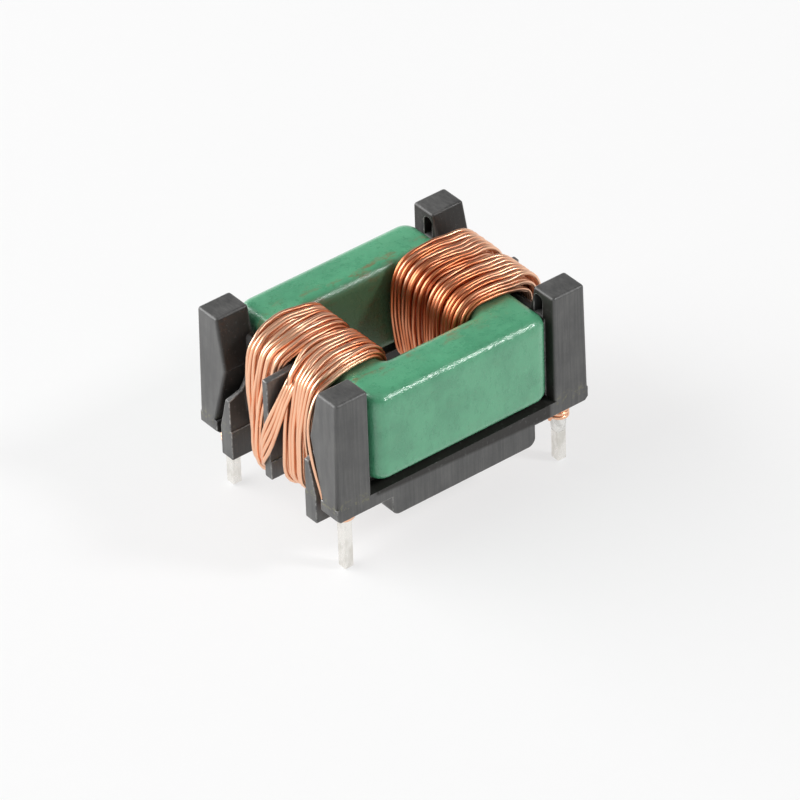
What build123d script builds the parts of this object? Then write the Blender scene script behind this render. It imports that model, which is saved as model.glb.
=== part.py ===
"""Common mode choke for a circuit board.

A coated rectangular ring core lies in a moulded base. Each of its short legs carries a winding
of enamelled copper wire, wound in two sections around the leg and the base's end wall together.
The ends of each wire run to the two pins at that end and are wrapped and soldered there.

Millimetres, +Z up. The origin is on the board seat, the plane of the stand-off rails' feet, at
the centre of the four pins. The long side of the base runs along X.
"""

import math
import os

from build123d import *

# Pins
pin_pitch_x = 15.0
pin_pitch_y = 10.0
pin_width = 0.6
pin_tail = 2.75
pin_root = 3.4
pin_point = 0.12
pin_clearance = 0.01

# Coated core: its place between the posts and beyond the base's sides
core_post_gap = 0.275
core_proud = 0.14
core_height = 5.73
core_leg = 3.03
core_corner = 1.0
core_edge = 0.75
window_corner = 0.3

# Base: how far it reaches past the pins, side rims, stand-off rails and the pads that carry the core
end_margin = 1.28
side_margin = 1.11
rim_bottom = 1.3
rim_thickness = 0.9
ledge_width = 1.15
ledge_inset = 0.325
pad_height = 0.34
pad_length = 2.2
pad_inset = 0.5
rail_inset = 1.125
rail_thickness = 1.15
rail_corner = 0.5
foot_chamfer = 0.22

# Base: corner posts
post_rise = 0.87
post_length = 2.38
post_lean = 0.15
post_top_width = 1.7
post_bulge_width = 2.38
post_bulge_height = 3.8
post_foot_inset = 0.08
post_round = 0.2
relief_radius = 0.34
relief_depth = 0.5
relief_drop = 0.7
relief_wall = 0.06

# Base: end walls, with the teeth that part the winding's sections
wall_gap = 0.175
wall_top_thickness = 0.65
wall_foot_thickness = 1.2
wall_bottom = 1.9
wall_heel = 0.3
wall_drop = 0.72
wall_round = 0.3
tooth_proud = 0.02
middle_tooth_thickness = 0.44
middle_tooth_drop = 0.57
middle_tooth_fall = 0.15
middle_block_bottom = 1.0
outer_tooth_room = 0.31
outer_tooth_top_width = 0.26
outer_tooth_height = 2.05
outer_tooth_rise = 0.35
outer_tooth_step = 0.9
outer_fin_height = 1.6
outer_block_bottom = 0.3
block_step = 0.08

# Windings
wire_diameter = 0.24
section_turns = 13
coil_gap = 0.04
tooth_gap = 0.06
ridge_depth_share = 0.35
ridge_flat_share = 0.5
waist_share = 0.5
belt_step_degrees = 24

# Where the wire goes round: build at a section's edge and crown, how far its inner side stays from
# the middle and its outer side reaches, and how high the valley between the two sections stays
build_edge = 0.55
build_crown = 0.74
crest_edge = 0.5
crest_crown = 0.8
wall_edge = 0.5
wall_crown = 0.7
slot_edge = 0.55
slot_crown = 0.85
window_parting = 0.2
window_margin = 0.22
crest_parting = 0.08
crest_margin = 0.1
shoulder_parting = 0.38
shoulder_margin = 0.2
waist_parting = 0.56
waist_margin = 0.38
slot_parting = 0.88
slot_margin = 0.9
open_valley_share = 0.3
shut_valley_share = 0.9

# Wire ends: the wraps on the pins, the solder below them and the strands that cross the tooth
wrap_clearance = 0.03
short_wrap_turns = 2
long_wrap_turns = 4
wrap_gap = 0.02
wrap_bite = 0.04
solder_wall = 0.07
short_solder = 0.25
long_solder = 1.1
lead_bend = 0.4
lead_gap = 0.04
lead_room = 0.12
cross_bend = 1.2
cross_strands = 2
crossing_drop = 0.9
crossing_gap = 0.09
solder_thin_share = 0.3
bury = 0.25

# Places worked out from the sizes above
rim_top = rim_bottom + rim_thickness
core_bottom = rim_top + pad_height
core_top = core_bottom + core_height
post_top = core_top + post_rise
pin_x = pin_pitch_x / 2
pin_y = pin_pitch_y / 2
half_length = pin_x + end_margin
half_width = pin_y + side_margin
base_length = 2 * half_length
base_width = 2 * half_width
post_inner = half_length - post_length
tooth_reach = half_length + tooth_proud
half_core = post_inner - core_post_gap
core_length = 2 * half_core
core_width = base_width + 2 * core_proud
leg_inner = half_core - core_leg
window_half = core_width / 2 - core_leg
ledge_length = core_length - 2 * ledge_inset
rail_length = core_length - 2 * rail_inset
shoulder_reach = window_half - shoulder_margin
waist_reach = window_half - waist_margin
slot_reach = window_half - slot_margin
post_bulge_z = rim_top + post_bulge_height
wall_inner = half_core + wall_gap
wall_top = core_top - wall_drop
wall_top_outer = wall_inner + wall_top_thickness
wall_foot_outer = wall_inner + wall_foot_thickness
middle_tooth_top = core_top - middle_tooth_drop
outer_tooth_top = rim_top + outer_tooth_height
fin_top = outer_tooth_top + outer_tooth_rise + outer_fin_height
wire_radius = wire_diameter / 2
wrap_inner = pin_width / math.sqrt(2) + wrap_clearance
wrap_middle = wrap_inner + wire_radius
wrap_top = rim_bottom - wrap_gap

# The leads' way to the pins, which sets how near to it the rims, posts and outer teeth come
lead_offset = wrap_middle - wrap_bite
lead_y = pin_y - lead_offset
lead_z = wrap_top - wire_diameter
rim_inner = lead_y + wire_radius + lead_gap
post_foot_inner = rim_inner + post_foot_inset
outer_tooth_offset = shoulder_reach + outer_tooth_room
outer_tooth_end = lead_y - wire_radius - lead_room
block_inner = pin_x - lead_offset + wire_radius + lead_room
ledge_inner = rim_inner - ledge_width


def block(x_from, x_to, y_from, y_to, z_from, z_to):
    """Return a rectangular block between two corners."""
    with BuildPart() as solid:
        with BuildSketch(Plane.XY.offset(z_from)):
            with Locations(((x_from + x_to) / 2, (y_from + y_to) / 2)):
                Rectangle(x_to - x_from, y_to - y_from)
        extrude(amount=z_to - z_from)
    return solid.part


def two_view_solid(end_outline, side_outline):
    """Return the solid that has one outline along the base and another across it.

    The first outline is a list of x and z, seen along Y; the second of y and z, seen along X.
    """
    with BuildPart() as solid:
        with BuildSketch(Plane.XZ):
            with BuildLine():
                Polyline(*end_outline, close=True)
            make_face()
        extrude(amount=base_width, both=True)
        with BuildSketch(Plane.YZ):
            with BuildLine():
                Polyline(*side_outline, close=True)
            make_face()
        extrude(amount=base_length, both=True, mode=Mode.INTERSECT)
    return solid.part


# Base: one quarter is drawn, then mirrored across both middle planes
post_end_outline = [
    (post_inner, rim_top),
    (half_length, rim_top),
    (half_length - post_lean, post_top),
    (post_inner, post_top),
]
post_side_outline = [
    (half_width, rim_top),
    (half_width, post_top),
    (half_width - post_top_width, post_top),
    (half_width - post_bulge_width, post_bulge_z),
    (post_foot_inner, rim_top),
]
relief_y = half_width - post_top_width + relief_radius + relief_wall
relief_z = post_top - relief_drop

with BuildPart() as post:
    add(two_view_solid(post_end_outline, post_side_outline))
    fillet(post.edges().filter_by(lambda edge: edge.center().Z > rim_top + post_round), post_round)
    with BuildSketch(Plane.YZ.offset(post_inner)):
        with Locations((relief_y, relief_z)):
            Circle(relief_radius)
        with Locations((relief_y, (relief_z + post_bulge_z) / 2)):
            Rectangle(2 * relief_radius, relief_z - post_bulge_z)
    extrude(amount=relief_depth, mode=Mode.SUBTRACT)

tooth_end_outline = [
    (wall_inner, rim_top),
    (tooth_reach, rim_top),
    (tooth_reach, outer_tooth_top),
    (tooth_reach - outer_tooth_step, outer_tooth_top + outer_tooth_rise),
    (wall_top_outer, fin_top),
    (wall_inner, fin_top),
]
tooth_side_outline = [
    (outer_tooth_offset, rim_top),
    (outer_tooth_end, rim_top),
    (outer_tooth_offset + outer_tooth_top_width, outer_tooth_top + outer_tooth_rise),
    (outer_tooth_offset + outer_tooth_top_width, fin_top),
    (outer_tooth_offset, fin_top),
]
middle_tooth_outline = [
    (wall_inner, wall_bottom),
    (tooth_reach, wall_bottom),
    (tooth_reach, middle_tooth_top - middle_tooth_fall),
    (wall_inner, middle_tooth_top),
]
wall_outline = [
    (wall_inner, wall_bottom + wall_heel),
    (wall_foot_outer, wall_bottom),
    (wall_top_outer, wall_top),
    (wall_inner, wall_top),
]
wall_end = (post_foot_inner + half_width) / 2

with BuildPart() as base:
    add(block(0, half_length, rim_inner, half_width, rim_bottom, rim_top))
    chamfer(base.edges().filter_by(Axis.Y).group_by(Axis.X)[-1].sort_by(Axis.Z)[0], foot_chamfer)
    add(block(0, ledge_length / 2, ledge_inner, rim_inner, rim_bottom, rim_top))
    add(block(ledge_length / 2 - pad_length, ledge_length / 2, ledge_inner + pad_inset,
              half_width - core_corner, rim_top, core_bottom))
    with BuildSketch(Plane.XZ.offset(-half_width)):
        with BuildLine():
            FilletPolyline((0, 0), (rail_length / 2, 0), (rail_length / 2, rim_bottom), radius=rail_corner)
            Polyline((rail_length / 2, rim_bottom), (0, rim_bottom), (0, 0))
        make_face()
    extrude(amount=rail_thickness)
    add(post.part)
    with BuildSketch(Plane.XZ) as wall_section:
        with BuildLine():
            Polyline(*wall_outline, close=True)
        make_face()
        fillet(wall_section.vertices(), wall_round)
    extrude(amount=-wall_end)
    with BuildSketch(Plane.XZ):
        with BuildLine():
            Polyline(*middle_tooth_outline, close=True)
        make_face()
    extrude(amount=-middle_tooth_thickness / 2)
    add(block(block_inner, tooth_reach, 0, middle_tooth_thickness / 2 + block_step,
              middle_block_bottom, rim_top))
    add(two_view_solid(tooth_end_outline, tooth_side_outline))
    add(block(block_inner, tooth_reach, outer_tooth_offset - block_step, outer_tooth_end,
              outer_block_bottom, rim_top))
    with BuildSketch(Plane.XY.offset(rim_bottom)):
        with Locations((pin_x, pin_y)):
            Rectangle(pin_width + 2 * pin_clearance, pin_width + 2 * pin_clearance)
    extrude(amount=pin_root + pin_clearance, mode=Mode.SUBTRACT)
    mirror(about=Plane.XZ)
    mirror(about=Plane.YZ)
base.part.label = "base"

# Core: a rectangular ring with every edge rounded by its coating
with BuildPart() as core:
    with BuildSketch(Plane.XY.offset(core_bottom)):
        RectangleRounded(core_length, core_width, core_corner)
        RectangleRounded(2 * leg_inner, 2 * window_half, window_corner, mode=Mode.SUBTRACT)
    extrude(amount=core_height)
    fillet(core.edges().group_by(Axis.Z)[0] + core.edges().group_by(Axis.Z)[-1], core_edge)
core.part.label = "core"


def belt(pulleys):
    """Return where a tight belt lies on a ring of pulleys, as rows of place, angle and pulley.

    The pulleys are rows of x, z and radius, in the order of a clockwise belt, and the angle is
    that of the belt's outward normal. Each pulley gives the belt's entry, exit and steps between.
    """
    exits = []
    for number, (x, z, radius) in enumerate(pulleys):
        next_x, next_z, next_radius = pulleys[(number + 1) % len(pulleys)]
        span = math.hypot(next_x - x, next_z - z)
        heading = math.atan2(next_z - z, next_x - x)
        exits.append(heading + math.acos((radius - next_radius) / span))
    rows = []
    for number, (x, z, radius) in enumerate(pulleys):
        entry = exits[number - 1]
        turn = (entry - exits[number]) % (2 * math.pi)
        steps = math.ceil(math.degrees(turn) / belt_step_degrees)
        for step in range(steps + 1):
            angle = entry - turn * step / steps
            rows.append((x + radius * math.cos(angle), z + radius * math.sin(angle), angle, number))
    return rows


def section_outline(parting, reach, edge, crown, valley_share):
    """Return the outline of both sections across the leg, as y and height over what they lie on."""
    pitch = (reach - parting) / section_turns
    depth = ridge_depth_share * wire_diameter
    points = [(-reach, 0)]
    for side in (-1, 1):
        heights = []
        for turn in range(section_turns):
            place_share = (2 * turn + 1) / section_turns - 1
            heights.append(edge + (crown - edge) * (1 - place_share ** 2))
        start = parting if side > 0 else -reach
        points.append((start, heights[0] - depth))
        for turn, height in enumerate(heights):
            ridge = start + (2 * turn + 1) * pitch / 2
            points.append((ridge - ridge_flat_share * pitch / 2, height))
            points.append((ridge + ridge_flat_share * pitch / 2, height))
            following = heights[min(turn + 1, section_turns - 1)]
            points.append((start + (turn + 1) * pitch, min(height, following) - depth))
        if side < 0:
            valley = (heights[-1] - depth) * valley_share
            points.append((-parting, valley))
            points.append((parting, valley))
    points.append((reach, 0))
    return points


def section_face(x, z, angle, outline):
    """Return the windings' cross-section as a face standing on the belt at one place."""
    plane = Plane(origin=(x, 0, z), x_dir=(0, 1, 0), z_dir=(math.sin(angle), 0, -math.cos(angle)))
    with BuildSketch(plane) as section:
        with BuildLine():
            Polyline(*outline, close=True)
        make_face()
    return section.sketch.face()


# Windings: what the wire lies on, and the sections' form there
leg_round = core_edge + coil_gap
wall_bend = wall_round + coil_gap
pulleys = [
    (leg_inner + core_edge, core_top - core_edge, leg_round),
    (half_core - core_edge, core_top - core_edge, leg_round),
    (wall_top_outer - wall_round, wall_top - wall_round, wall_bend),
    (wall_foot_outer - wall_round, wall_bottom + wall_round, wall_bend),
    (leg_inner + core_edge, core_bottom + core_edge, leg_round),
]
window_outline = section_outline(
    window_parting, window_half - window_margin, build_edge, build_crown, shut_valley_share)
outlines = [
    window_outline,
    section_outline(crest_parting, window_half - crest_margin, crest_edge, crest_crown, shut_valley_share),
    section_outline(shoulder_parting, shoulder_reach, wall_edge, wall_crown, open_valley_share),
    section_outline(slot_parting, slot_reach, slot_edge, slot_crown, open_valley_share),
    window_outline,
]
waist_outline = section_outline(waist_parting, waist_reach, slot_edge, slot_crown, open_valley_share)

wall_top_pulley = 2

# The sections narrow part of the way down the wall, so a face is added after the wall's top
faces = []
rows = belt(pulleys)
for (x, z, angle, number), (next_x, next_z, next_angle, next_number) in zip(rows, rows[1:] + rows[:1]):
    faces.append(section_face(x, z, angle, outlines[number]))
    if number == wall_top_pulley and next_number != wall_top_pulley:
        waist_x = x + (next_x - x) * waist_share
        waist_z = z + (next_z - z) * waist_share
        faces.append(section_face(waist_x, waist_z, angle, waist_outline))
faces.append(faces[0])
turnaround = len(faces) // 2


def wire(points, bend):
    """Return a round wire along a route of straight runs and tangent arcs of one radius."""
    with BuildPart() as solid:
        with BuildLine() as route:
            FilletPolyline(*points, radius=bend)
        with BuildSketch(Plane(origin=route.line @ 0, z_dir=route.line % 0)):
            Circle(wire_radius)
        sweep(path=route.line)
    return solid.part


def wrap(x, y, turns):
    """Return a wire's turns around the pin at a place, close under the rim, as one ridged ring."""
    with BuildPart() as solid:
        with BuildSketch(Plane.XZ.offset(-y)):
            with BuildLine():
                inner = x + wrap_inner
                middle = x + wrap_middle
                for turn in range(turns):
                    high = wrap_top - turn * wire_diameter
                    low = high - wire_diameter
                    outer = inner + wire_diameter
                    ThreePointArc((middle, high), (outer, (high + low) / 2), (middle, low))
                Polyline((middle, low), (inner, low), (inner, wrap_top), (middle, wrap_top))
            make_face()
        revolve(axis=Axis((x, y, 0), (0, 0, 1)))
    return solid.part


# Wire ends: the outer lead drops beside the post, the inner lead runs under the end wall
shoulder_x = wall_top_outer + coil_gap + wire_radius
slot_x = wall_foot_outer + coil_gap + wire_radius
lead_x = (half_length - post_lean + slot_x) / 2
outer_lead = [
    (shoulder_x, shoulder_reach - bury, wall_top - 2 * bury),
    (lead_x, half_width - post_bulge_width - wire_diameter, post_bulge_z),
    (lead_x, lead_y, rim_top),
    (lead_x, lead_y, lead_z),
    (pin_x, lead_y, lead_z),
]
inner_lead = [
    (pin_x - lead_offset, -(slot_parting + slot_reach) / 2, wall_bottom - bury),
    (pin_x - lead_offset, -outer_tooth_offset, lead_z),
    (pin_x - lead_offset, -pin_y, lead_z),
]
crossing_x = tooth_reach + crossing_gap + wire_radius
crossing_y = middle_tooth_thickness / 2 + crossing_gap + wire_radius
slot_start = wall_inner - tooth_gap

with BuildPart() as winding_right:
    loft(faces[: turnaround + 1], ruled=True)
    loft(faces[turnaround:], ruled=True)
    with BuildSketch(Plane.XZ):
        with Locations(((slot_start + base_length) / 2, (middle_block_bottom + middle_tooth_top) / 2)):
            Rectangle(base_length - slot_start, middle_tooth_top + 2 * tooth_gap - middle_block_bottom)
    extrude(amount=middle_tooth_thickness / 2 + block_step + tooth_gap, both=True, mode=Mode.SUBTRACT)
    add(wrap(pin_x, pin_y, short_wrap_turns))
    add(wrap(pin_x, -pin_y, long_wrap_turns))
    add(wire(outer_lead, lead_bend))
    add(wire(inner_lead, lead_bend))
    for strand in range(cross_strands):
        lower = strand * 2 * wire_diameter
        add(wire([
            (shoulder_x, shoulder_parting + bury + lower, wall_top - bury),
            (crossing_x, crossing_y, post_bulge_z - crossing_drop - lower),
            (crossing_x, -crossing_y, post_bulge_z - 2 * crossing_drop - lower),
            (slot_x + wire_radius, -slot_parting, rim_top + lower),
        ], cross_bend))
winding_right.part.label = "winding_right"

with BuildPart() as winding_left:
    with Locations(Rotation(0, 0, 180)):
        add(winding_right.part)
winding_left.part.label = "winding_left"


def pin(x, y):
    """Return a square pin with a pointed tip, from its tip below the board up into the post."""
    with BuildPart() as solid:
        with BuildSketch(Plane.XY.offset(-pin_tail)):
            with Locations((x, y)):
                Rectangle(pin_width, pin_width)
        extrude(amount=pin_tail + rim_bottom + pin_root)
        chamfer(solid.faces().sort_by(Axis.Z)[0].edges(), pin_point)
    return solid.part


def solder_joint(x, y, top, length):
    """Return the solder that runs down a pin from its wire's last turn and thins towards the tip."""
    with BuildPart() as solid:
        for drop, wall in ((0, solder_wall), (length, solder_wall * solder_thin_share)):
            with BuildSketch(Plane.XY.offset(top - drop)):
                with Locations((x, y)):
                    RectangleRounded(pin_width + 2 * wall, pin_width + 2 * wall, wall)
        loft(ruled=True)
        with BuildSketch(Plane.XY.offset(top)):
            with Locations((x, y)):
                Rectangle(pin_width, pin_width)
        extrude(amount=-length, mode=Mode.SUBTRACT)
    return solid.part


# Pins and their solder, by corner: the short wraps are at the outer leads
corners = {
    "front": (-pin_x, -pin_y, short_wrap_turns, short_solder),
    "right": (pin_x, -pin_y, long_wrap_turns, long_solder),
    "back": (pin_x, pin_y, short_wrap_turns, short_solder),
    "left": (-pin_x, pin_y, long_wrap_turns, long_solder),
}
pieces = [base.part, core.part, winding_left.part, winding_right.part]
for corner, (x, y, turns, length) in corners.items():
    corner_pin = pin(x, y)
    corner_pin.label = f"pin_{corner}"
    corner_solder = solder_joint(x, y, wrap_top - turns * wire_diameter, length)
    corner_solder.label = f"solder_{corner}"
    pieces += [corner_pin, corner_solder]

os.makedirs("parts", exist_ok=True)
for piece in pieces:
    export_step(piece, f"parts/{piece.label}.step")
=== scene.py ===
"""Common mode choke: the looks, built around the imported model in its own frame.

Metres, +Z up, the origin on the board seat at the centre of the four pins. The sizes below are
written in millimetres and turned to metres as the meshes are made. The scales of patterns are in
features per metre.
"""

import logging
import math
import random
from dataclasses import dataclass
from enum import Enum, IntEnum
from typing import Iterable

import bmesh
import bpy
from mathutils import Matrix, Vector


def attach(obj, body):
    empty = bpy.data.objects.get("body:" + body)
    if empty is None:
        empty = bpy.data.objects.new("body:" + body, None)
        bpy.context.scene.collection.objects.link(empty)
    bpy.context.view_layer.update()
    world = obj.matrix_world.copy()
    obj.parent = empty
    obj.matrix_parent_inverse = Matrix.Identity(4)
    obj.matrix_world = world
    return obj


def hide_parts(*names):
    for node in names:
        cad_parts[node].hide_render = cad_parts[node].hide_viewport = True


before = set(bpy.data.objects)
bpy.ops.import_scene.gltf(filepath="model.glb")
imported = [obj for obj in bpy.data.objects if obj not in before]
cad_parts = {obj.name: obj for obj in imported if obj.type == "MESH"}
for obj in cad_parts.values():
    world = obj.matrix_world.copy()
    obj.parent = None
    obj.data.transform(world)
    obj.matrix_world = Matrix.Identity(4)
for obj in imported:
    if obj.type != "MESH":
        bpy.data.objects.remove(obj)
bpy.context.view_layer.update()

LOG = logging.getLogger("choke")
MM = 0.001
BODY = "root"
# The name of the base's face attribute that holds each face's share of painted shade
INWARD_SHADE = "inward_shade"

Point = tuple[float, float, float]
Colour = tuple[float, float, float]
Range = tuple[float, float]
Socket = bpy.types.NodeSocket

# Where most values of a noise lie
NOISE_SPREAD: Range = (0.3, 0.7)
WHITE = (1.0, 1.0, 1.0, 1.0)


class Corner(Enum):
    """The four pins by corner, with the signs of their x and y."""

    FRONT = (-1, -1)
    RIGHT = (1, -1)
    BACK = (1, 1)
    LEFT = (-1, 1)


class Side(Enum):
    """The two ends of the core that carry a winding, by the sign of x and y."""

    LEFT = -1
    RIGHT = 1


class Stage(IntEnum):
    """The rounds that a turn of wire bends over, in the order that the stages are counted."""

    WINDOW_TOP = 0
    CORE_TOP = 1
    WALL_TOP = 2
    WALL_FOOT = 3
    WINDOW_FOOT = 4


def link_piece(mesh: bpy.types.Mesh, name: str) -> bpy.types.Object:
    """Make a mesh a piece of the object.

    Args:
        mesh: The finished mesh, with its place in its vertices.
        name: The piece's name.

    Returns:
        The new object, riding on the model's one body.
    """
    piece = bpy.data.objects.new(name, mesh)
    bpy.context.scene.collection.objects.link(piece)
    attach(piece, BODY)
    LOG.info("%s: %d faces", name, len(mesh.polygons))
    return piece


def mesh_from(bm: bmesh.types.BMesh, name: str, smooth: bool = True) -> bpy.types.Mesh:
    """Write a bmesh out as a mesh and free it.

    Args:
        bm: The bmesh, in millimetres.
        name: The mesh's name.
        smooth: Whether its faces are shaded smooth.

    Returns:
        The mesh, in metres.
    """
    bmesh.ops.scale(bm, vec=(MM, MM, MM), verts=bm.verts)
    bmesh.ops.recalc_face_normals(bm, faces=bm.faces)
    for face in bm.faces:
        face.smooth = smooth
    mesh = bpy.data.meshes.new(name)
    bm.to_mesh(mesh)
    bm.free()
    return mesh


class Graph:
    """A material's node graph, with short ways to add the nodes that the finishes use."""

    # The sockets of a colour mix, whose names it shares with its other kinds
    MIX_UNDER = 6
    MIX_OVER = 7
    MIX_RESULT = 2

    def __init__(self, name: str) -> None:
        """Start a material with one principled shader.

        Args:
            name: The material's name.
        """
        self.material = bpy.data.materials.new(name)
        self.material.use_nodes = True
        self.tree = self.material.node_tree
        self.shader = self.tree.nodes["Principled BSDF"]
        self.place = self.add("ShaderNodeTexCoord").outputs["Object"]

    def add(self, kind: str, **settings: object) -> bpy.types.Node:
        """Add a node.

        Args:
            kind: The node's type name.
            settings: Values for the node's own properties.

        Returns:
            The new node.
        """
        node = self.tree.nodes.new(kind)
        for key, value in settings.items():
            setattr(node, key, value)
        return node

    def join(self, source: Socket, target: Socket) -> None:
        """Link an output to an input."""
        self.tree.links.new(source, target)

    def stretch(self, scale: Point) -> Socket:
        """Scale the object's coordinates apart along each axis.

        Args:
            scale: The scale along X, Y and Z.

        Returns:
            The scaled coordinates.
        """
        node = self.add("ShaderNodeMapping")
        node.inputs["Scale"].default_value = scale
        self.join(self.place, node.inputs["Vector"])
        return node.outputs["Vector"]

    def noise(self, scale: float | Point, detail: float, rough: float) -> Socket:
        """Add a noise texture on the object's coordinates.

        Args:
            scale: Features in a metre, for all axes or for each.
            detail: How many finer layers are added.
            rough: How strong the finer layers are.

        Returns:
            The noise value, from 0 to 1.
        """
        stretched = isinstance(scale, tuple)
        node = self.add("ShaderNodeTexNoise")
        node.inputs["Scale"].default_value = 1.0 if stretched else scale
        node.inputs["Detail"].default_value = detail
        node.inputs["Roughness"].default_value = rough
        self.join(self.stretch(scale) if stretched else self.place, node.inputs["Vector"])
        return node.outputs["Fac"]

    def ramp(self, value: Socket, stops: Range, colours: tuple[Colour, Colour]) -> Socket:
        """Add a ramp between two colours.

        Args:
            value: What it reads.
            stops: Where the first colour ends and the second starts, from 0 to 1.
            colours: The two colours.

        Returns:
            The ramp's colour.
        """
        node = self.add("ShaderNodeValToRGB")
        for element, stop, colour in zip(node.color_ramp.elements, stops, colours):
            element.position = stop
            element.color = (*colour, 1.0)
        self.join(value, node.inputs["Fac"])
        return node.outputs["Color"]

    def grade(self, value: Socket, span: Range, out: Range = (0.0, 1.0)) -> Socket:
        """Map one range of a value onto another, held at both ends.

        Args:
            value: What it reads.
            span: Where the range starts and ends.
            out: The results at its start and end.

        Returns:
            The mapped value.
        """
        node = self.add("ShaderNodeMapRange")
        for key, number in zip(("From Min", "From Max", "To Min", "To Max"), (*span, *out)):
            node.inputs[key].default_value = number
        self.join(value, node.inputs["Value"])
        return node.outputs["Result"]

    def grade_mm(self, value: Socket, span: Range, out: Range = (0.0, 1.0)) -> Socket:
        """Do the same as grade with a range that is given in millimetres."""
        return self.grade(value, (span[0] * MM, span[1] * MM), out)

    def maths(self, operation: str, first: Socket, second: Socket) -> Socket:
        """Add a maths node.

        Args:
            operation: What it does.
            first: The first value.
            second: The second value.

        Returns:
            The result.
        """
        node = self.add("ShaderNodeMath", operation=operation)
        self.join(first, node.inputs[0])
        self.join(second, node.inputs[1])
        return node.outputs[0]

    def axis(self, name: str) -> Socket:
        """Split the object's coordinates.

        Args:
            name: Which of them, X, Y or Z.

        Returns:
            The coordinate, in metres.
        """
        node = self.add("ShaderNodeSeparateXYZ")
        self.join(self.place, node.inputs[0])
        return node.outputs[name]

    def reach(self, name: str) -> Socket:
        """Return how far a point is from the object's middle along an axis."""
        place = self.axis(name)
        return self.maths("ABSOLUTE", place, place)

    def attribute(self, name: str) -> Socket:
        """Return the value of one of the mesh's own attributes."""
        return self.add("ShaderNodeAttribute", attribute_name=name).outputs["Fac"]

    def blend(self, share: Socket, under: Socket, over: Colour) -> Socket:
        """Lay a colour over another.

        Args:
            share: How much of the upper colour shows.
            under: The lower colour.
            over: The upper colour.

        Returns:
            The mixed colour.
        """
        node = self.add("ShaderNodeMix", data_type="RGBA")
        self.join(share, node.inputs["Factor"])
        self.join(under, node.inputs[self.MIX_UNDER])
        node.inputs[self.MIX_OVER].default_value = (*over, 1.0)
        return node.outputs[self.MIX_RESULT]

    def bump(self, height: Socket, strength: float, depth: float, under: Socket | None = None) -> Socket:
        """Add a bump.

        Args:
            height: The height, from 0 to 1.
            strength: How much of it shows.
            depth: Its depth in millimetres.
            under: A bump that lies below it.

        Returns:
            The bent normal.
        """
        node = self.add("ShaderNodeBump")
        node.inputs["Strength"].default_value = strength
        node.inputs["Distance"].default_value = depth * MM
        self.join(height, node.inputs["Height"])
        if under is not None:
            self.join(under, node.inputs["Normal"])
        return node.outputs["Normal"]

    def dress(self, **sockets: object) -> bpy.types.Material:
        """Set or link the shader's sockets and return the material.

        Args:
            sockets: Values or outputs by the socket's name, with _ for a space.

        Returns:
            The finished material.
        """
        for key, value in sockets.items():
            target = self.shader.inputs[key.replace("_", " ")]
            if isinstance(value, Socket):
                self.join(value, target)
            else:
                target.default_value = value
        return self.material


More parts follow.
